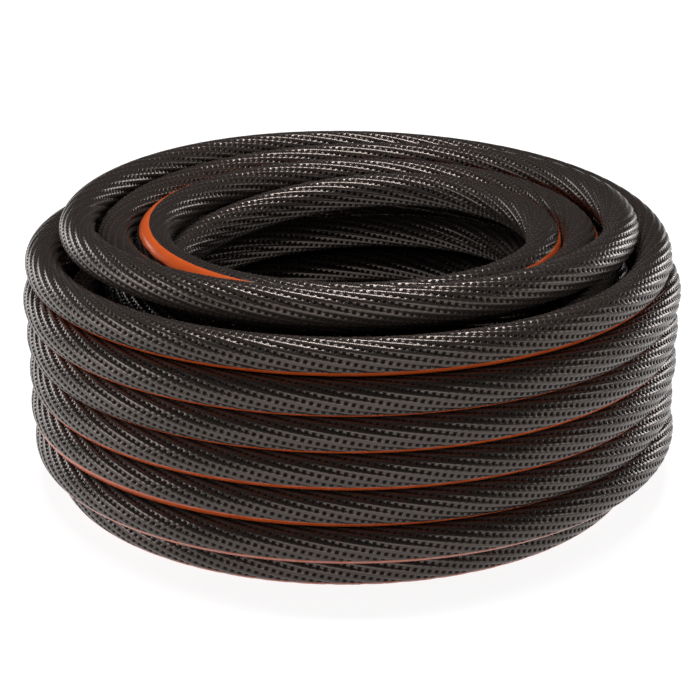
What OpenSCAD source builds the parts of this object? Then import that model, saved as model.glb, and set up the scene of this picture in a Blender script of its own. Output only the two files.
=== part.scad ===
// Garden hose lying in a wound coil, with the two free ends of the hose.
// Units are millimetres. +Z is up and the coil lies flat on the plane z = 0.
// The origin is on the floor, in the middle of the coil seen from above.
// One turn of the winding is one unit of t. A whole number is the left side (-X),
// a quarter past it the front (-Y), a half the right and three quarters the back.

/* [Hose] */

// inner diameter of the hose, the bore that a fitting enters
bore_d = 13; // [10:0.5:19]
// wall of the soft inner tube
liner_wall = 1; // [0.8:0.1:1.5]
// wall of the knitted yarn layer over the inner tube
yarn_wall = 0.6; // [0.4:0.1:0.8]
// wall of the outer cover
cover_wall = 1.15; // [0.9:0.05:1.6]
// width of the coloured stripe along the hose
stripe_width = 6.8; // [3:0.2:10]
// depth of the coloured stripe in the cover
stripe_depth = 0.5; // [0.3:0.1:0.7]
// share of the hose diameter that is pressed flat where it lies on the floor
rest_share = 0.1; // [0.08:0.01:0.12]

/* [Coil] */

// free width of the eye in the middle of the coil
eye_width = 183.1; // [160:1:260]
// clearance between turns stacked in the outer wall
turn_gap = 0.66; // [0.6:0.02:1.2]
// clearance between neighbouring columns and rings
column_gap = 2.23; // [1.9:0.05:3]
// clearance between the floor layer and the turns over it
layer_gap = 0.95; // [0.8:0.05:1.4]
// clearance between turns stacked in the hidden columns
hidden_gap = 1.42; // [1.26:0.02:1.8]
// clearance between the hidden columns and the rings that lie on them
crown_gap = 2; // [1.5:0.1:3]

/* [Ends] */

// straight run of hose before the outer end piece
outer_run = 30; // [20:1:45]
// straight run of hose before the inner end piece
inner_run = 4; // [3:1:20]
// length of hose shown with its layers at each end
end_length = 40; // [30:1:45]
// turn of the stripe at the outer end away from straight up, inwards
outer_tilt = -45; // [-180:5:180]
// turn of the stripe at the inner end away from straight up, outwards
inner_tilt = 45; // [-180:5:180]

/* [Hidden] */
$fn = 64;
// hose sections
liner_d = bore_d + 2 * liner_wall;
yarn_d = liner_d + 2 * yarn_wall;
hose_d = yarn_d + 2 * cover_wall;
hose_r = hose_d / 2;
stripe_angle = stripe_width / hose_r * 180 / PI;
rest_cut = rest_share * hose_d;

// radii of the four columns and of the top ring, all to the hose centre
column_step = hose_d + column_gap;
eye_radius = eye_width / 2 + hose_r;
third_radius = eye_radius + column_step;
second_radius = third_radius + column_step;
wall_radius = second_radius + column_step;
crown_radius = second_radius + 0.035 * hose_d;

// heights of the hose centre over its own floor line
wall_pitch = hose_d + turn_gap;
wall_first = hose_r + 0.68 * hose_d;
layer_z = hose_r + hose_d + layer_gap;
hidden_top = layer_z + 4 * (hose_d + hidden_gap);
crown_height = hidden_top + hose_d + crown_gap;
eye_drop = 1.06 * hose_d;
blend = hose_d / 6;

// turns at which the winding changes over
first_turn = -0.25;
inward_turn = 6.25;
drop_turn = 8.62;
eye_turn = 9.23;
third_turn = 13.45;
second_turn = 17.405;
floor_turn = 21.5;
last_turn = 23.75;
eye_turns = 3.97;
third_turns = 3.71;
second_turns = 3.985;
eye_pitch = (crown_height - eye_drop - layer_z) / eye_turns;
third_pitch = (hidden_top - layer_z) / third_turns;
second_pitch = (hidden_top - layer_z) / second_turns;
rings_per_turn = 24;
sides = 6;
least_gap = 0.4;

// smooth step from 0 to 1
function ease(u) = let (c = min(1, max(0, u))) c * c * (3 - 2 * c);
// rounded minimum and maximum of two values, with k the size of the rounding
function soft_min(a, b, k) = (a + b - sqrt(pow(a - b, 2) + k * k)) / 2;
function soft_max(a, b, k) = (a + b + sqrt(pow(a - b, 2) + k * k)) / 2;
// rounded hump of height 1 around turn c, w turns wide to each side
function hump(t, c, w) = ease(1 - abs(t - c) / w);
// turn count that lags at the front and catches up at the back
function jogged(t, a) = t + a / (2 * PI) * sin(360 * (t - 0.75));

// distance of the hose centre from the coil's axis
function wall_r(t) =
    wall_radius + hose_d * (
        0.076 * hump(t, 4.2, 0.9)
        + 0.2 * hump(t, 4.88, 0.25)
        - 0.13 * hump(t, 0, 0.2)
        - 0.065 * hump(t, 1.5, 1.2)
        - 0.2 * hump(t, 5.62, 0.3)
    );
function spiral_r(t) = crown_radius - column_step * (jogged(t, 0.8) - inward_turn);
function eye_r(t) = eye_radius - hose_r * hump(t, 8.8, 0.4);
function upper_r(t) =
    soft_max(soft_min(wall_r(t), spiral_r(t), 2 * blend), eye_r(t), 0.65 * blend)
    - 0.14 * hose_d * hump(t, 5.93, 0.15);
function crossing_r(t) = column_step * (ease((t - 13) / 0.6) + ease((t - 17.1) / 0.6));
function floor_r(t) =
    0.16 * hose_d * ease((t - 21.7) / 0.3)
    - (column_step + 0.225 * hose_d) * ease((t - 22.42) / 0.42)
    - 0.8 * eye_radius * ease((t - 23.2) / 0.9);
function coil_r(t) = upper_r(t) + crossing_r(t) + floor_r(t);

// height of the hose centre over its own floor line
function wall_z(t) = wall_first + wall_pitch * jogged(t, 0.7) + 0.243 * hose_d * hump(t, 5.7, 0.3);
function crown_z(t) = crown_height + 0.73 * hose_d * hump(t, 6.2, 0.8);
function eye_z(t) =
    soft_min(wall_z(t), crown_z(t), blend)
    - eye_drop * ease((t - drop_turn) / 0.42)
    - eye_pitch * max(0, jogged(t, 0.8) - eye_turn);
function third_z(t) = layer_z + third_pitch * (jogged(t, 0.6) - third_turn);
function second_z(t) = hidden_top - second_pitch * (jogged(t, 0.6) - second_turn);
function rising_z(t) = soft_max(layer_z, third_z(t), blend / 3);
function free_z(t) =
    t < 11 ? eye_z(t)
    : t < 13.25 ? soft_max(eye_z(t), layer_z, blend / 3)
    : t < 15 ? rising_z(t)
    : t < 19 ? soft_min(rising_z(t), soft_min(hidden_top, second_z(t), blend / 2), blend / 2)
    : soft_max(second_z(t), layer_z, blend / 3);
function settle(t) = ease((t - floor_turn) / 0.45);
function coil_z(t) =
    t < 0 ? hose_r + (free_z(t) - rest_cut - hose_r) * (1 - ease((-t - 0.06) / 0.19))
    : free_z(t) * (1 - settle(t)) + hose_r * settle(t) - rest_cut + rest_cut * ease((t - 23.55) / 0.2);

// sideways shift of the ring that lies on the floor
function floor_x(t) = hose_d * (0.08 * hump(t, 22.45, 0.2) - 0.3 * hump(t, 22.28, 0.6));
function floor_y(t) = -hose_d * (0.216 * hump(t, 22.25, 0.75) + 0.12 * hump(t, 22.35, 0.25));

// centre line of the hose in the coil
function coil_point(t) = [
    floor_x(t) - coil_r(t) * cos(360 * t),
    floor_y(t) - coil_r(t) * sin(360 * t),
    coil_z(t)
];
function unit(v) = v / norm(v);
function flat_way(a, b) = unit([b[0] - a[0], b[1] - a[1], 0]);
turn_count = last_turn - first_turn;
wound = [for (i = [0 : turn_count * rings_per_turn]) coil_point(first_turn + i / rings_per_turn)];
wound_last = len(wound) - 1;
outer_way = flat_way(coil_point(first_turn + 0.0002), wound[0]);
inner_way = flat_way(coil_point(last_turn - 0.0002), wound[wound_last]);
raw_path = concat(
    [wound[0] + outer_way * outer_run],
    wound,
    [wound[wound_last] + inner_way * inner_run]
);
ring_count = len(raw_path);

// one ring of the tube, flat side down, pressed flat at the floor
function way_at(i) =
    i == 0 ? -outer_way
    : i == ring_count - 1 ? inner_way
    : unit(raw_path[i + 1] - raw_path[i - 1]);
function side_at(i) = unit(cross(way_at(i), [0, 0, 1]));
function up_at(i) = cross(side_at(i), way_at(i));
function ring(i) = [
    for (k = [0 : sides - 1])
        let (a = 360 * k / sides)
        let (p = raw_path[i] + hose_r * (cos(a) * side_at(i) + sin(a) * up_at(i)))
        [p[0], p[1], max(0, p[2])]
];
rings = [for (i = [0 : ring_count - 1]) each ring(i)];
xs = [for (p = rings) p[0]];
ys = [for (p = rings) p[1]];
outer_mouth = raw_path[0] + outer_way * end_length;
y_reach = max(max(ys), max(raw_path[0][1], outer_mouth[1]) + hose_r * outer_way[0]);
middle = [(min(xs) + max(xs)) / 2, (min(ys) + y_reach) / 2, 0];
path = [for (p = raw_path) p - middle];
outer_face = path[0];
inner_face = path[ring_count - 1];

// least gap between turns, taken between points more than half a turn apart
apart = rings_per_turn / 2;
gaps = [
    for (i = [1 : ring_count - 2 - apart])
        min([for (j = [i + apart : ring_count - 2]) norm(path[i] - path[j])])
];
closest = min(gaps) - hose_d;
run = [for (i = [1 : ring_count - 1]) norm(path[i] - path[i - 1])];
function total(v, i = 0) = i >= len(v) ? 0 : v[i] + total(v, i + 1);
echo(least_gap_mm = closest);
echo(hose_length_mm = total(run) + 2 * end_length);
echo(turns = turn_count);
echo(middle_mm = middle);
echo(least_gap_kept = closest > least_gap);

module hose_coil() {
    color([0.29, 0.27, 0.25])
    translate(-middle)
    polyhedron(
        points = rings,
        faces = concat(
            [for (k = [1 : sides - 2]) [0, k, k + 1]],
            [
                for (i = [0 : ring_count - 2])
                    for (k = [0 : sides - 1])
                        let (a = i * sides + k)
                        let (b = i * sides + (k + 1) % sides)
                        each [[a, a + sides, b], [b, a + sides, b + sides]]
            ],
            [
                for (k = [1 : sides - 2])
                    let (e = (ring_count - 1) * sides)
                    [e, e + k + 1, e + k]
            ]
        ),
        convexity = 24
    );
}

// puts a piece that is built along +X at the free end of the hose
module at_end(point, way) {
    translate(point)
    rotate([0, 0, atan2(way[1], way[0])])
    children();
}

// plain tube along +X
module sleeve(inside, outside) {
    rotate([0, 90, 0])
    difference() {
        cylinder(h = end_length, d = outside);
        translate([0, 0, -1])
        cylinder(h = end_length + 2, d = inside);
    }
}

// strip of the cover along +X, with its middle turned up by tilt
module strip(tilt, grow) {
    rotate([tilt - stripe_angle / 2, 0, 0])
    rotate([0, 90, 0])
    rotate([0, 0, 180])
    translate([0, 0, -grow])
    rotate_extrude(angle = stripe_angle)
    translate([hose_r - stripe_depth, 0])
    square([stripe_depth + grow, end_length + 2 * grow]);
}

module end_cover(tilt) {
    difference() {
        sleeve(yarn_d, hose_d);
        strip(tilt, 1);
    }
}

module outer_end_liner() {
    color([0.16, 0.16, 0.17])
    at_end(outer_face, outer_way)
    sleeve(bore_d, liner_d);
}

module outer_end_yarn() {
    color([0.86, 0.85, 0.82])
    at_end(outer_face, outer_way)
    sleeve(liner_d, yarn_d);
}

module outer_end_cover() {
    color([0.29, 0.27, 0.25])
    at_end(outer_face, outer_way)
    end_cover(outer_tilt);
}

module outer_end_stripe() {
    color([0.91, 0.38, 0.11])
    at_end(outer_face, outer_way)
    strip(outer_tilt, 0);
}

module inner_end_liner() {
    color([0.16, 0.16, 0.17])
    at_end(inner_face, inner_way)
    sleeve(bore_d, liner_d);
}

module inner_end_yarn() {
    color([0.86, 0.85, 0.82])
    at_end(inner_face, inner_way)
    sleeve(liner_d, yarn_d);
}

module inner_end_cover() {
    color([0.29, 0.27, 0.25])
    at_end(inner_face, inner_way)
    end_cover(inner_tilt);
}

module inner_end_stripe() {
    color([0.91, 0.38, 0.11])
    at_end(inner_face, inner_way)
    strip(inner_tilt, 0);
}

hose_coil();
outer_end_liner();
outer_end_yarn();
outer_end_cover();
outer_end_stripe();
inner_end_liner();
inner_end_yarn();
inner_end_cover();
inner_end_stripe();
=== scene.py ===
import math
import bpy
import numpy as np
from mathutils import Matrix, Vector


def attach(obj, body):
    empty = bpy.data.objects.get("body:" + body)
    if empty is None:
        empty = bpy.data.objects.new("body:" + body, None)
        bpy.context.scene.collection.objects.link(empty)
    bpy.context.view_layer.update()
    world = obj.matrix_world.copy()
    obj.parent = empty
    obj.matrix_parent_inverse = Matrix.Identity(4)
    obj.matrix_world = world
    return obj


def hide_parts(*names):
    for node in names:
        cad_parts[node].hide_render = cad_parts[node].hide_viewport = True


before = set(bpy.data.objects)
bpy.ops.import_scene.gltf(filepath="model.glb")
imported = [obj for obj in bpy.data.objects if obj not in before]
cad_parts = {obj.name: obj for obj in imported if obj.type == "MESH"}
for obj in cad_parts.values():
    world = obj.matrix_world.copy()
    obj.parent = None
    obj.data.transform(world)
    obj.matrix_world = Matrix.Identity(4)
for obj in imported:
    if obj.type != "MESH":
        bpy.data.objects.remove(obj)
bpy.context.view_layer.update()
scene = bpy.context.scene
mm = 0.001
turn = 2 * math.pi
colorA, colorB, colorOut = 6, 7, 2  # a Mix node's sockets for colours


def linearColor(hexText):
    values = [int(hexText[i:i + 2], 16) / 255 for i in (1, 3, 5)]
    return [v / 12.92 if v <= 0.04045 else ((v + 0.055) / 1.055) ** 2.4 for v in values] + [1.0]


def addNode(tree, kind, inputs=None, **settings):
    node = tree.nodes.new("ShaderNode" + kind)
    for name, value in settings.items():
        setattr(node, name, value)
    for socket, value in (inputs or {}).items():
        if isinstance(value, bpy.types.NodeSocket):
            tree.links.new(value, node.inputs[socket])
        else:
            node.inputs[socket].default_value = value
    return node


def newMaterial(name):
    material = bpy.data.materials.new(name)
    material.use_nodes = True
    return material, material.node_tree, material.node_tree.nodes["Principled BSDF"]


def addObject(name, data):
    piece = bpy.data.objects.new(name, data)
    scene.collection.objects.link(piece)
    return piece


def turnTo(piece, place, aim):
    # lamps and cameras look along their own minus Z
    piece.location = place
    piece.rotation_euler = (Vector(place) - Vector(aim)).to_track_quat("Z", "Y").to_euler()


# camera: a long lens that looks a little down on the coil's front
cameraSet = {
    "distance": 1.342,
    "elevation": 20.76,  # degrees
    "lens": 129.0,
    "sensor": 36.0,
    "clipEnd": 200.0,
    "target": (-0.98 * mm, -0.155 * mm, 62.8 * mm),
}


def makeCamera(given):
    data = bpy.data.cameras.new("camera")
    data.lens = given["lens"]
    data.sensor_width = given["sensor"]
    data.clip_end = given["clipEnd"]
    camera = addObject("camera", data)
    rise = math.radians(given["elevation"])
    away = Vector((0, -math.cos(rise), math.sin(rise))) * given["distance"]
    turnTo(camera, Vector(given["target"]) + away, given["target"])
    scene.camera = camera


makeCamera(cameraSet)
print("camera placed")

# the hose's route: the same sizes and rules as the part's own, in metres;
# one turn is one unit of t, with whole numbers at the left and a quarter more at the front
coil = {
    "hoseD": 18.5 * mm,
    "eyeWidth": 183.1 * mm,
    "turnGap": 0.66 * mm,
    "columnGap": 2.23 * mm,
    "layerGap": 0.95 * mm,
    "hiddenGap": 1.42 * mm,
    "crownGap": 2.0 * mm,
    "restShare": 0.1,  # pressed flat where it rests, as a share of the hose
    "outerRun": 30 * mm,
    "innerRun": 4 * mm,
    "endLength": 40 * mm,
    # how much quicker a turn climbs or moves inwards at the back, and slower at the front
    "wallJog": 0.7,
    "crownJog": 0.8,
    "hiddenJog": 0.6,
    # where a loop leaves its even course: turn, turns to either side, and hose diameters
    "wallOut": ((4.2, 0.9, 0.076), (4.88, 0.25, 0.2), (0, 0.2, -0.13), (1.5, 1.2, -0.065), (5.62, 0.3, -0.2)),
    "wallUp": ((5.7, 0.3, 0.243),),
    "crownOut": ((5.93, 0.15, -0.14),),
    "crownUp": ((6.2, 0.8, 0.73),),
    "eyeOut": ((8.8, 0.4, -0.5),),
    "floorRight": ((22.45, 0.2, 0.08), (22.28, 0.6, -0.3)),
    "floorBack": ((22.25, 0.75, -0.216), (22.35, 0.25, -0.12)),
    # where it moves over to its next course: turn, and turns that this takes
    "intoEye": (8.62, 0.42),
    "toThird": (13, 0.6),
    "toSecond": (17.1, 0.6),
    "ontoFloor": (21.5, 0.45),
    "floorSpread": (21.7, 0.3),
    "floorTuck": (22.42, 0.42),
    "acrossEye": (23.2, 0.9),
    "unpressed": (23.55, 0.2),
    "startLowered": (0.06, 0.19),  # counted back from turn 0
    "handOvers": (11, 13.25, 15, 19),  # turns after which the next rule gives the height
}
hoseD = coil["hoseD"]
hoseR = hoseD / 2
restCut = coil["restShare"] * hoseD
columnStep = hoseD + coil["columnGap"]
eyeRadius = coil["eyeWidth"] / 2 + hoseR
secondRadius = eyeRadius + 2 * columnStep
wallRadius = secondRadius + columnStep
crownRadius = secondRadius + 0.035 * hoseD
wallPitch = hoseD + coil["turnGap"]
wallFirst = hoseR + 0.68 * hoseD
layerZ = hoseR + hoseD + coil["layerGap"]
hiddenTop = layerZ + 4 * (hoseD + coil["hiddenGap"])
crownHeight = hiddenTop + hoseD + coil["crownGap"]
eyeDrop = 1.06 * hoseD
floorSpread = 0.16 * hoseD
floorTuck = columnStep + 0.225 * hoseD
eyeCross = 0.8 * eyeRadius
blend = hoseD / 6
firstTurn, inwardTurn, eyeTurn = -0.25, 6.25, 9.23
thirdTurn, secondTurn, lastTurn = 13.45, 17.405, 23.75
eyePitch = (crownHeight - eyeDrop - layerZ) / 3.97  # each pitch over the turns that its course takes
thirdPitch = (hiddenTop - layerZ) / 3.71
secondPitch = (hiddenTop - layerZ) / 3.985


def ease(u):
    c = np.clip(u, 0, 1)
    return c * c * (3 - 2 * c)


def eased(t, place):
    start, reach = place
    return ease((t - start) / reach)


def humps(t, places):
    return sum(size * ease(1 - np.abs(t - center) / reach) for center, reach, size in places)


def softMin(a, b, k):
    return (a + b - np.sqrt((a - b) ** 2 + k * k)) / 2


def softMax(a, b, k):
    return (a + b + np.sqrt((a - b) ** 2 + k * k)) / 2


def jogged(t, share):
    return t + share / turn * np.sin(turn * (t - 0.75))  # lags at the front, catches up at the back


def coilRadius(t):
    wall = wallRadius + hoseD * humps(t, coil["wallOut"])
    spiral = crownRadius - columnStep * (jogged(t, coil["crownJog"]) - inwardTurn)
    eye = eyeRadius + hoseD * humps(t, coil["eyeOut"])
    upper = softMax(softMin(wall, spiral, 2 * blend), eye, 0.65 * blend) + hoseD * humps(t, coil["crownOut"])
    crossing = columnStep * (eased(t, coil["toThird"]) + eased(t, coil["toSecond"]))
    spread = floorSpread * eased(t, coil["floorSpread"])
    tuck = floorTuck * eased(t, coil["floorTuck"]) + eyeCross * eased(t, coil["acrossEye"])
    return upper + crossing + spread - tuck


def coilHeight(t):
    wall = wallFirst + wallPitch * jogged(t, coil["wallJog"]) + hoseD * humps(t, coil["wallUp"])
    crown = crownHeight + hoseD * humps(t, coil["crownUp"])
    eyeLoops = np.maximum(0, jogged(t, coil["crownJog"]) - eyeTurn)
    eye = softMin(wall, crown, blend) - eyeDrop * eased(t, coil["intoEye"]) - eyePitch * eyeLoops
    third = layerZ + thirdPitch * (jogged(t, coil["hiddenJog"]) - thirdTurn)
    second = hiddenTop - secondPitch * (jogged(t, coil["hiddenJog"]) - secondTurn)
    eyeFoot = softMax(eye, layerZ, blend / 3)
    rising = softMax(layerZ, third, blend / 3)
    top = softMin(rising, softMin(hiddenTop, second, blend / 2), blend / 2)
    falling = softMax(second, layerZ, blend / 3)
    free = np.select([t < end for end in coil["handOvers"]], [eye, eyeFoot, rising, top], falling)
    lowered = eased(-t, coil["startLowered"])
    start = hoseR + (free - restCut - hoseR) * (1 - lowered)
    settle = eased(t, coil["ontoFloor"])
    later = free * (1 - settle) + hoseR * settle - restCut * (1 - eased(t, coil["unpressed"]))
    return np.where(t < 0, start, later)


def coilPoint(t):
    t = np.asarray(t, float)
    x = hoseD * humps(t, coil["floorRight"]) - coilRadius(t) * np.cos(turn * t)
    y = hoseD * humps(t, coil["floorBack"]) - coilRadius(t) * np.sin(turn * t)
    return np.stack([x, y, coilHeight(t)], -1)


def unit(v):
    return v / np.linalg.norm(v, axis=-1, keepdims=True)


def sidesAndUps(ways):
    sides = unit(np.cross(ways, [0, 0, 1.0]))  # outwards from the coil
    return sides, np.cross(sides, ways)


def coilRoute(perTurn):
    # the turns with a straight run before and after them: turn counts, points and directions
    t = firstTurn + np.arange(round((lastTurn - firstTurn) * perTurn) + 1) / perTurn
    wound = coilPoint(t)
    step, flat = 0.0002, np.array([1, 1, 0])
    outerWay = unit((wound[0] - coilPoint(firstTurn + step)) * flat)
    innerWay = unit((wound[-1] - coilPoint(lastTurn - step)) * flat)
    outerStart = wound[0] + outerWay * coil["outerRun"]
    innerStart = wound[-1] + innerWay * coil["innerRun"]
    points = np.vstack([outerStart, wound, innerStart])
    ways = np.empty_like(points)
    ways[1:-1] = unit(points[2:] - points[:-2])
    ways[0], ways[-1] = -outerWay, innerWay
    return np.concatenate([[firstTurn], t, [lastTurn]]), points, ways


def coilMiddle(perTurn=24, sides=6):
    # middle of the part's box, worked out on its own tube of few sides
    t, points, ways = coilRoute(perTurn)
    out, up = sidesAndUps(ways)
    angle = (np.arange(sides) / sides * turn)[None, :, None]
    reach = np.cos(angle) * out[:, None] + np.sin(angle) * up[:, None]
    rings = (points[:, None] + hoseR * reach).reshape(-1, 3)
    mouthY = max(points[0][1], points[0][1] - ways[0][1] * coil["endLength"]) - hoseR * ways[0][0]
    low, high = rings.min(0), rings.max(0)
    return np.array([(low[0] + high[0]) / 2, (low[1] + max(high[1], mouthY)) / 2, 0])


def wholeRoute(perTurn=480):
    t, points, ways = coilRoute(perTurn)
    points = points - coilMiddle()
    end = coil["endLength"]
    points = np.vstack([points[0] - ways[0] * end, points, points[-1] + ways[-1] * end])
    ways = np.vstack([ways[0], ways, ways[-1]])
    t = np.concatenate([t[:1], t, t[-1:]])
    s = np.concatenate([[0], np.cumsum(np.linalg.norm(np.diff(points, axis=0), axis=1))])
    return t, points, ways, s


routeTurn, routePoints, routeWays, routeLength = wholeRoute()
hoseLength = float(routeLength[-1])


def alongRoute(s, values):
    return np.stack([np.interp(s, routeLength, values[:, i]) for i in range(3)], -1)


print(f"route laid: {hoseLength:.3f} m of hose in {lastTurn - firstTurn:.0f} loops")

# the cover: pits pressed between the knitted yarns, in rows that wind round the hose, and one stripe
cover = {
    "yarnD": 16.2 * mm,  # hole in the cover, which the yarn fills
    "rowsAround": 14,  # rows of pits round the hose
    "rowsPerMetre": 59.0,  # how fast the rows wind round it
    "pitsPerMetre": 262.0,  # pits along one side of the hose
    "pitLag": 6,  # pits that the pattern falls behind in one trip round
    "floorTo": 0.11,  # where a pit's floor ends and the ridge begins, as shares of the pitch
    "ridgeFrom": 0.27,
    "pitDepth": 1.3 * mm,
    "grooveDepth": 0.55 * mm,  # of the low strands between two pits of a row
    "stripeWidth": 6.8 * mm,
    "stripeRim": 0.2 * mm,  # smooth edge beside the stripe
    "rimFade": 0.6 * mm,  # over which the pits reach their depth
    "evenGloss": 0.3,  # how far the shading follows a plain round hose
    "bakeRows": 19,  # rows that the bake's map folds the cover into
    "bakeEnds": 0.05,  # share of that map for the cut ends
}

# how far the stripe's middle has turned up from the outer side, in degrees, as the hose twists
twist = {
    "level": 39,
    "sway": -5,  # up and down once in each turn of the wall
    "swayHumps": ((1.3, 1.2, -22), (3.25, 0.8, 14), (5.25, 0.8, 12)),  # turn, turns to either side, size
    "swayEnds": (5.6, 0.4),
    "humps": ((3.2, 0.4, -6), (4.3, 0.5, -12), (6.35, 0.7, -45), (8.0, 0.38, 43)),
    "steps": ((-0.25, 0.2, -96), (6.5, 0.8, 68), (8.7, 0.5, -70), (23.0, 0.6, 98)),  # start, reach, size
}


def stripeAngle(t):
    sway = twist["sway"] + humps(t, twist["swayHumps"])
    sway = sway * (1 - eased(t, twist["swayEnds"])) * np.sin(turn * (t - 0.25))
    turned = sum(size * eased(t, (start, reach)) for start, reach, size in twist["steps"])
    return np.radians(twist["level"] + sway + turned + humps(t, twist["humps"]))


def outwardAt(s, phi):
    # away from the hose's middle, at s along it and phi round from the stripe's middle
    out, up = sidesAndUps(unit(alongRoute(s, routeWays)))
    angle = (phi + stripeAngle(np.interp(s, routeLength, routeTurn)))[..., None]
    return np.cos(angle) * out + np.sin(angle) * up


def hosePoints(s, phi, radius):
    points = alongRoute(s, routePoints) + outwardAt(s, phi) * np.broadcast_to(radius, s.shape)[..., None]
    points[..., 2] = np.maximum(points[..., 2], 0)  # pressed flat where it rests
    return points


def evenGloss(mesh, outward, share):
    # normals turned towards a plain round hose's, so that a highlight runs on from ridge to ridge;
    # a zero vector leaves a corner as it is, at the cut ends
    normals = np.empty(3 * len(mesh.vertices), np.float32)
    mesh.vertices.foreach_get("normal", normals)
    mixed = (1 - share) * normals.reshape(-1, 3) + share * outward
    mixed[~outward.any(1)] = 0
    mesh.normals_split_custom_set_from_vertices(mixed)


def meshObject(name, points, faceGroups, uvGroups, attributes):
    # faces of 3 and of 4 corners, each group with its own corners of both maps
    mesh = bpy.data.meshes.new(name)
    mesh.vertices.add(len(points))
    mesh.vertices.foreach_set("co", points.astype(np.float32).ravel())
    corners = np.concatenate([g.ravel() for g in faceGroups])
    sizes = np.concatenate([np.full(len(g), g.shape[1]) for g in faceGroups])
    mesh.loops.add(len(corners))
    mesh.loops.foreach_set("vertex_index", corners.astype(np.int32))
    mesh.polygons.add(len(sizes))
    mesh.polygons.foreach_set("loop_start", (np.cumsum(sizes) - sizes).astype(np.int32))
    mesh.update(calc_edges=True)
    mesh.polygons.foreach_set("use_smooth", np.ones(len(sizes), bool))
    for label, groups in uvGroups.items():
        uv = np.concatenate([g.reshape(-1, 2) for g in groups])
        mesh.uv_layers.new(name=label).data.foreach_set("uv", uv.astype(np.float32).ravel())
    for label, values in attributes.items():
        mesh.attributes.new(label, "FLOAT", "POINT").data.foreach_set("value", values.astype(np.float32))
    return addObject(name, mesh)


def weaveGrid(given):
    # the grid follows the pits: 4 lines to a pitch both ways, a counted round and b counted along
    around, lag = given["rowsAround"], given["pitLag"]
    perMetre = given["pitsPerMetre"] + lag * given["rowsPerMetre"] / around
    floor, ridge = given["floorTo"], given["ridgeFrom"]
    lines = np.array([floor, ridge, 1 - ridge, 1 - floor])
    pits = math.ceil(hoseLength * perMetre) + 2 * lag + 2  # past both ends, as the rows lean
    a = (np.arange(around)[:, None] + lines).ravel()
    b = (np.arange(pits)[:, None] + lines).ravel() - lag - 1
    s = np.clip((b[:, None] + lag * a / around) / perMetre, 0, hoseLength)
    phi = turn * (a - given["rowsPerMetre"] * s) / around
    return a, b, s, phi


def pressed(place, given):
    # 1 on the floor of a pit or groove and 0 on the flat ridge, with a steep wall between them
    fromMiddle = np.abs(place - np.round(place))
    return np.clip((given["ridgeFrom"] - fromMiddle) / (given["ridgeFrom"] - given["floorTo"]), 0, 1)


def coverShape(given, a, b, s, phi):
    # distance from the stripe's middle, share of the pattern's depth, and depth at each point
    fromStripe = np.abs((phi + math.pi) % turn - math.pi) * hoseR
    edge = given["stripeWidth"] / 2 + given["stripeRim"]
    fromEnd = np.minimum(s, hoseLength - s) / given["rimFade"]
    relief = ease((fromStripe - edge) / given["rimFade"]) * ease(fromEnd)
    groove = pressed(a, given)
    pit = groove * pressed(b, given)[:, None]
    depth = given["grooveDepth"] * groove + (given["pitDepth"] - given["grooveDepth"]) * pit
    return fromStripe, relief, depth * relief


def gridFaces(given, a, b, s):
    # faces of 4 corners between the lines; the grid joins itself a few pits further on
    lines = 4 * given["pitLag"]
    index = np.arange(s.size).reshape(s.shape)
    shared = np.where(s <= 0, index[:1], np.where(s >= hoseLength, index[-1:], index))
    k = np.arange(len(b) - 1 - lines)
    one = np.ones(len(k))
    faces, weave = [], []
    for j in range(len(a)):
        last = j + 1 == len(a)
        n, shift = (0, lines) if last else (j + 1, 0)
        a0, a1 = a[j] * one, (a[n] + last * given["rowsAround"]) * one
        places = [(k, j), (k + 1, j), (k + 1 + shift, n), (k + shift, n)]
        faces.append(np.stack([shared[place] for place in places], -1))
        corners = [(a0, b[k]), (a0, b[k + 1]), (a1, b[k + 1]), (a1, b[k])]
        weave.append(np.stack([np.stack(c, -1) for c in corners], 1))
    return np.concatenate(faces), np.concatenate(weave)


def splitFaces(faces, weave):
    # past the cut ends some corners fall together: such a face has 3 corners left, or none
    same = faces == np.roll(faces, -1, axis=1)
    whole, thin = ~same.any(1), same.sum(1) == 1
    kept = ~same[thin]
    return faces[whole], weave[whole], faces[thin][kept].reshape(-1, 3), weave[thin][kept].reshape(-1, 3, 2)


def foldedMap(given, weave, first, last, side=0.002, gap=0.02):
    # the long strip in rows one above the other, for the map that a bake uses
    perRow = (last - first) / given["bakeRows"]
    row = np.floor((weave[:, :, 1].min(1) - first) / perRow)[:, None]
    u = side + (1 - 2 * side) * ((weave[:, :, 1] - first) / perRow - row)
    v = (row + gap + (1 - 2 * gap) * weave[:, :, 0] / given["rowsAround"]) / given["bakeRows"]
    return np.stack([u, v * (1 - given["bakeEnds"])], -1)


def ringMap(count, left, right, low, high):
    # a strip of the same map for a ring of faces
    u = np.linspace(left, right, count + 1)
    corners = [(u[:-1], low), (u[:-1], high), (u[1:], high), (u[1:], low)]
    return np.stack([np.stack(np.broadcast_arrays(*c), -1) for c in corners], 1)


def endMaps(given, atStart, count):
    # side by side at the top of the same map: the cut face, the hole's wall and the hole's floor
    left = 0.01 if atStart else 0.51
    width, faceHeight, gap, margin = 0.2, 0.006, 0.02, 0.004
    low, middle = 1 - given["bakeEnds"], 1 - given["bakeEnds"] / 2
    wallLeft = left + width + gap
    faceMap = np.concatenate([
        ringMap(count, left, left + width, low + margin, low + margin + faceHeight),
        ringMap(count, wallLeft, wallLeft + width, low + margin, 1 - margin),
    ])
    angle = turn * np.arange(count) / count
    centre = np.array([wallLeft + width + 2 * gap, middle])
    circle = centre + gap * np.stack([np.cos(angle), np.sin(angle)], -1)
    discMap = np.stack([circle, np.broadcast_to(centre, circle.shape), np.roll(circle, -1, axis=0)], 1)
    return faceMap, discMap


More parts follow.
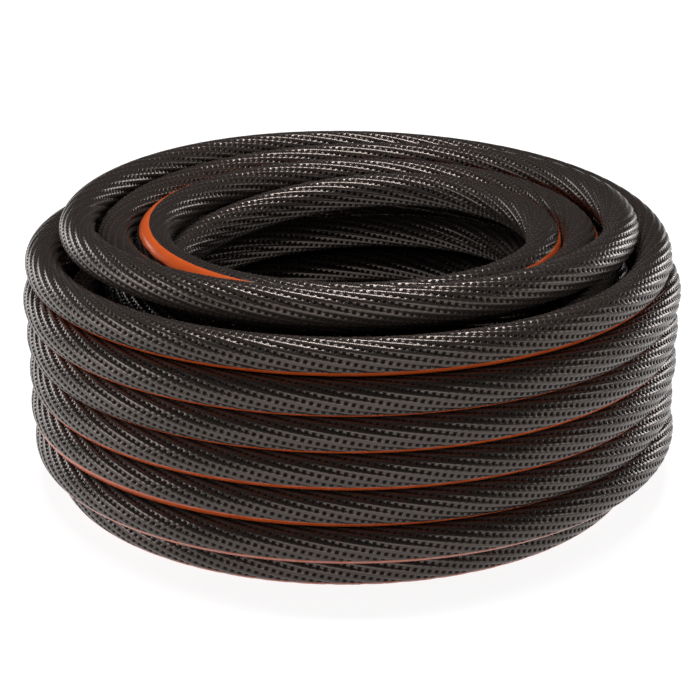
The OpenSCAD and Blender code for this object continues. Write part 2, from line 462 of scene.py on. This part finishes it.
def cutEnd(given, rim, phi, atStart, base):
    # a cut end: the cover's face, and the hole with its floor that the yarn and the liner fill
    count, end = len(rim), coil["endLength"]
    mouthS, deepS = (0, end) if atStart else (hoseLength, hoseLength - end)
    holeR = given["yarnD"] / 2
    mouth = hosePoints(np.full(count, mouthS), phi, holeR)
    deep = hosePoints(np.full(count, deepS), phi, holeR)
    middle = hosePoints(np.full(1, deepS), np.zeros(1), 0)
    inner = base + np.arange(count)
    floor = inner + count
    n = (np.arange(count) + 1) % count
    faces = np.concatenate([
        np.stack([rim, inner, inner[n], rim[n]], -1),
        np.stack([inner, floor, floor[n], inner[n]], -1),
    ])
    disc = np.stack([floor, np.full(count, base + 2 * count), floor[n]], -1)
    faceMap, discMap = endMaps(given, atStart, count)
    if atStart:
        return [mouth, deep, middle], faces[:, ::-1], faceMap[:, ::-1], disc[:, ::-1], discMap[:, ::-1]
    return [mouth, deep, middle], faces, faceMap, disc, discMap


def makeHose(given):
    a, b, s, phi = weaveGrid(given)
    fromStripe, relief, depth = coverShape(given, a, b, s, phi)
    points = [hosePoints(s, phi, hoseR - depth).reshape(-1, 3)]
    quads, quadWeave, tris, triWeave = splitFaces(*gridFaces(given, a, b, s))
    size = s.size
    starts = np.arange(size).reshape(s.shape)
    ends = []
    for atStart, line in ((True, 0), (False, -1)):
        ends.append(cutEnd(given, starts[line], phi[line], atStart, sum(len(p) for p in points)))
        points += ends[-1][0]
    points = np.concatenate(points)
    faceGroups = [quads, tris] + [e[1] for e in ends] + [e[3] for e in ends]
    plain = [np.broadcast_to((0.5, 0), g.shape + (2,)) for g in faceGroups[2:]]  # no pit on a cut face
    folded = [foldedMap(given, w, b[0], b[-1]) for w in (quadWeave, triWeave)]
    uvGroups = {
        "weave": [quadWeave, triWeave] + plain,
        "OFBake": folded + [e[2] for e in ends] + [e[4] for e in ends],
    }
    values = {
        "fromStripe": np.full(len(points), 4 * hoseR / mm),  # the cut faces lie far from the stripe
        "relief": np.zeros(len(points)),
    }
    values["fromStripe"][:size] = fromStripe.ravel() / mm
    values["relief"][:size] = relief.ravel()
    outward = np.zeros((len(points), 3))
    outward[:size] = (outwardAt(s, phi) * ((s > 0) & (s < hoseLength))[..., None]).reshape(-1, 3)
    used = np.unique(np.concatenate([g.ravel() for g in faceGroups]))
    number = np.full(len(points), -1)
    number[used] = np.arange(len(used))
    faceGroups = [number[g] for g in faceGroups]
    values = {label: value[used] for label, value in values.items()}
    piece = meshObject("garden_hose", points[used], faceGroups, uvGroups, values)
    evenGloss(piece.data, outward[used], given["evenGloss"])
    return piece


hose = makeHose(cover)
print(f"hose cover made: {len(hose.data.polygons)} faces")

# soft PVC, extruded over knitted yarn: satin ridges with deep matt pits between them;
# painted shade darkens the colour from the crossings of the strands down into the grooves, and keeps the pits
# almost black
pvc = {
    "knot": "#302a27",
    "ridge": "#2c2724",
    # painted shade: the bridges in the grooves and the pits below them are darker the deeper they lie
    "bridgeShade": "#282321",
    "pit": "#030202",
    "roughness": 0.25,
    "pitRoughness": 1.0,
    "specular": 0.75,
    "gloss": "#ffece2",  # the film of plasticiser reflects a little warm
    "stripe": "#ee6a2e",
    "stripeDeep": "#d85622",
    "stripeTones": 11.11 * mm,  # size of the uneven tones along the stripe
    "stripeSoft": 0.24 * mm,  # width of its edge
    "hollow": (-0.3, 0.5),  # from the edge of a pit to its full tone, the full depth of its painted shade, on a wave from -1 to 1
    "grain": 0.5556 * mm,  # really about 0.05 mm, drawn coarser so that it shows
    "grainDepth": 0.05 * mm,
    "grainShare": 0.25,
}


def coverMaterial(given):
    material, tree, shader = newMaterial("soft PVC, extruded over knitted yarn")
    # how far into a groove and into a pit each point lies, from 0 to 1
    weave = addNode(tree, "UVMap", uv_map="weave")
    phase = addNode(tree, "VectorMath", {0: weave.outputs[0], 1: (turn, turn, 0)}, operation="MULTIPLY")
    wave = addNode(tree, "VectorMath", {0: phase.outputs[0]}, operation="COSINE")
    hollow = addNode(tree, "SeparateXYZ", {0: wave.outputs[0]})
    low, high = given["hollow"]
    groove, pit = [
        addNode(tree, "MapRange", {"Value": way, "From Min": low, "From Max": high},
                interpolation_type="SMOOTHSTEP").outputs[0]
        for way in (hollow.outputs["X"], hollow.outputs["Y"])
    ]
    relief = addNode(tree, "Attribute", attribute_name="relief").outputs["Fac"]
    groove = addNode(tree, "Math", {0: groove, 1: relief}, operation="MULTIPLY").outputs[0]
    # painted shade by depth: lightest on the crossings, darker on the ridges and bridges, almost black in the
    # pits
    shadedRidge = addNode(tree, "Mix", {0: pit, colorA: linearColor(given["knot"]),
                                    colorB: linearColor(given["ridge"])}, data_type="RGBA")
    shadedGroove = addNode(tree, "Mix", {0: pit, colorA: linearColor(given["bridgeShade"]),
                                     colorB: linearColor(given["pit"])}, data_type="RGBA")
    knitted = addNode(tree, "Mix", {0: groove, colorA: shadedRidge.outputs[colorOut],
                                    colorB: shadedGroove.outputs[colorOut]}, data_type="RGBA")
    # the stripe, and small uneven tones along it
    band = addNode(tree, "Attribute", attribute_name="fromStripe").outputs["Fac"]
    edge, soft = cover["stripeWidth"] / 2 / mm, given["stripeSoft"] / 2 / mm
    inStripe = addNode(tree, "MapRange", {"Value": band, "From Min": edge - soft, "From Max": edge + soft,
                                          "To Min": 1.0, "To Max": 0.0})
    place = addNode(tree, "TexCoord").outputs["Object"]
    tones = addNode(tree, "TexNoise", {"Vector": place, "Scale": 1 / given["stripeTones"], "Detail": 5.0})
    stripe = addNode(tree, "Mix", {0: tones.outputs[0], colorA: linearColor(given["stripeDeep"]),
                                   colorB: linearColor(given["stripe"])}, data_type="RGBA")
    color = addNode(tree, "Mix", {0: inStripe.outputs[0], colorA: knitted.outputs[colorOut],
                                  colorB: stripe.outputs[colorOut]}, data_type="RGBA")
    tree.links.new(color.outputs[colorOut], shader.inputs["Base Color"])
    deep = addNode(tree, "Math", {0: groove, 1: pit}, operation="MULTIPLY").outputs[0]
    rough = addNode(tree, "MapRange", {"Value": deep, "From Max": 0.3, "To Min": given["roughness"],
                                       "To Max": given["pitRoughness"]})
    tree.links.new(rough.outputs[0], shader.inputs["Roughness"])
    shader.inputs["Specular IOR Level"].default_value = given["specular"]
    shader.inputs["Specular Tint"].default_value = linearColor(given["gloss"])
    grain = addNode(tree, "TexNoise", {"Vector": place, "Scale": 1 / given["grain"], "Detail": 3.0})
    bump = addNode(tree, "Bump", {"Height": grain.outputs[0], "Strength": given["grainShare"],
                                  "Distance": given["grainDepth"]})
    tree.links.new(bump.outputs[0], shader.inputs["Normal"])
    return material


hose.data.materials.append(coverMaterial(pvc))

# what shows in the mouths of the cut ends
layers = {
    "liner": "#1d1a19",
    "linerWorn": "#2b2725",
    "linerRoughness": 0.42,
    "linerSpecular": 0.25,
    "dieStreak": (16.67 * mm, 0.4167 * mm, 0.4167 * mm),  # length and widths of one streak
    "streakDepth": 0.04 * mm,
    "yarn": "#e6e1d6",
    "yarnShade": "#a39c8e",
    "yarnRoughness": 0.85,
    "yarnSpecular": 0.2,
    "bundle": 0.625 * mm,  # one cut yarn
    "filament": 0.1111 * mm,  # really about 0.02 mm, drawn coarser so that it shows
    "bundleDepth": 0.15 * mm,
}


def linerMaterial(given):
    # soft PVC, extruded smooth: even and dark, with faint long streaks from the die
    material, tree, shader = newMaterial("soft PVC, extruded smooth")
    place = addNode(tree, "TexCoord").outputs["Object"]
    scales = [1 / size for size in given["dieStreak"]]
    streaks = addNode(tree, "Mapping", {"Vector": place, "Scale": scales})
    noise = addNode(tree, "TexNoise", {"Vector": streaks.outputs[0], "Scale": 1.0, "Detail": 4.0})
    color = addNode(tree, "Mix", {0: noise.outputs[0], colorA: linearColor(given["liner"]),
                                  colorB: linearColor(given["linerWorn"])}, data_type="RGBA")
    tree.links.new(color.outputs[colorOut], shader.inputs["Base Color"])
    shader.inputs["Roughness"].default_value = given["linerRoughness"]
    shader.inputs["Specular IOR Level"].default_value = given["linerSpecular"]
    bump = addNode(tree, "Bump", {"Height": noise.outputs[0], "Strength": 0.3,
                                  "Distance": given["streakDepth"]})
    tree.links.new(bump.outputs[0], shader.inputs["Normal"])
    return material


def yarnMaterial(given):
    # polyester yarn, knitted and cut through: white bundles of filaments with shadow between them
    material, tree, shader = newMaterial("white polyester yarn, knitted")
    place = addNode(tree, "TexCoord").outputs["Object"]
    bundles = addNode(tree, "TexVoronoi", {"Vector": place, "Scale": 1 / given["bundle"]})
    filaments = addNode(tree, "TexNoise", {"Vector": place, "Scale": 1 / given["filament"], "Detail": 3.0})
    height = addNode(tree, "Math", {0: bundles.outputs["Distance"], 1: filaments.outputs[0]},
                     operation="MULTIPLY").outputs[0]
    shade = addNode(tree, "MapRange", {"Value": height, "From Min": 0.12, "From Max": 0.5})
    color = addNode(tree, "Mix", {0: shade.outputs[0], colorA: linearColor(given["yarn"]),
                                  colorB: linearColor(given["yarnShade"])}, data_type="RGBA")
    tree.links.new(color.outputs[colorOut], shader.inputs["Base Color"])
    shader.inputs["Roughness"].default_value = given["yarnRoughness"]
    shader.inputs["Specular IOR Level"].default_value = given["yarnSpecular"]
    bump = addNode(tree, "Bump", {"Height": height, "Strength": 0.6, "Distance": given["bundleDepth"]})
    tree.links.new(bump.outputs[0], shader.inputs["Normal"])
    return material


for layer, material in (("liner", linerMaterial(layers)), ("yarn", yarnMaterial(layers))):
    for side in ("outer", "inner"):
        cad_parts[f"{side}_end_{layer}"].material_slots[0].material = material
print("materials made")

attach(hose, "root")
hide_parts("hose_coil", "outer_end_cover", "inner_end_cover", "outer_end_stripe", "inner_end_stripe")

# a dark room over a white floor: the floor lights the lower halves of the loops
studio = {
    "floor": "#959595",
    "floorGlow": 0.88,  # added where the floor is seen, so that it looks white
    "floorRoughness": 0.9,
    "floorHalf": 60.0,  # reaches on behind the coil in a low view
    "floorDrop": 0.1 * mm,
    "world": "#ffffff",
    "worldLevel": 0.02,
    "aim": (0, 0, 0.08),
    "lamps": {
        "top softbox": {"place": (0, 0.12, 1.3), "size": (0.8, 0.15), "power": 15},
        "low front softbox": {"place": (0, -1.6, 0.3), "size": (2.4, 0.5), "power": 8},
        "left softbox": {"place": (-1.15, -0.2, 0.3), "size": (0.6, 0.4), "power": 3.4},
        "right softbox": {"place": (1.15, -0.2, 0.4), "size": (0.6, 0.4), "power": 1.6},
        "back left softbox": {"place": (-1.0, 0.8, 0.3), "size": (0.6, 0.3), "power": 2.6},
        "back right softbox": {"place": (1.0, 0.8, 0.3), "size": (0.6, 0.3), "power": 3.6},
    },
}


def makeFloor(given):
    # a matt white card, which looks even and keeps only the hose's own faint shadow
    half = given["floorHalf"]
    corners = [(-half, -half, 0), (half, -half, 0), (half, half, 0), (-half, half, 0)]
    mesh = bpy.data.meshes.new("floor")
    mesh.from_pydata(corners, [], [(0, 1, 2, 3)])
    floor = addObject("floor", mesh)
    floor.location.z = -given["floorDrop"]
    material, tree, shader = newMaterial("matt white card")
    shader.inputs["Base Color"].default_value = linearColor(given["floor"])
    shader.inputs["Roughness"].default_value = given["floorRoughness"]
    shader.inputs["Emission Color"].default_value = (1, 1, 1, 1)
    # it glows for the camera, a reflection or a clear piece, and gives no light
    rays = addNode(tree, "LightPath")
    seen = rays.outputs["Is Camera Ray"]
    for kind in ("Is Glossy Ray", "Is Transmission Ray"):
        seen = addNode(tree, "Math", {0: seen, 1: rays.outputs[kind]}, operation="MAXIMUM").outputs[0]
    glow = addNode(tree, "Math", {0: seen, 1: given["floorGlow"]}, operation="MULTIPLY")
    tree.links.new(glow.outputs[0], shader.inputs["Emission Strength"])
    mesh.materials.append(material)


def makeWorld(given):
    world = bpy.data.worlds.new("studio")
    scene.world = world
    world.use_nodes = True
    background = world.node_tree.nodes["Background"]
    background.inputs["Color"].default_value = linearColor(given["world"])
    background.inputs["Strength"].default_value = given["worldLevel"]


def addLamp(name, given, aim):
    data = bpy.data.lights.new(name, "AREA")
    data.shape = "RECTANGLE"
    data.size, data.size_y = given["size"]
    data.energy = given["power"]
    turnTo(addObject(name, data), given["place"], aim)


makeFloor(studio)
makeWorld(studio)
for name, lamp in studio["lamps"].items():
    addLamp(name, lamp, studio["aim"])
scene.view_settings.view_transform = "Standard"
print("studio set")
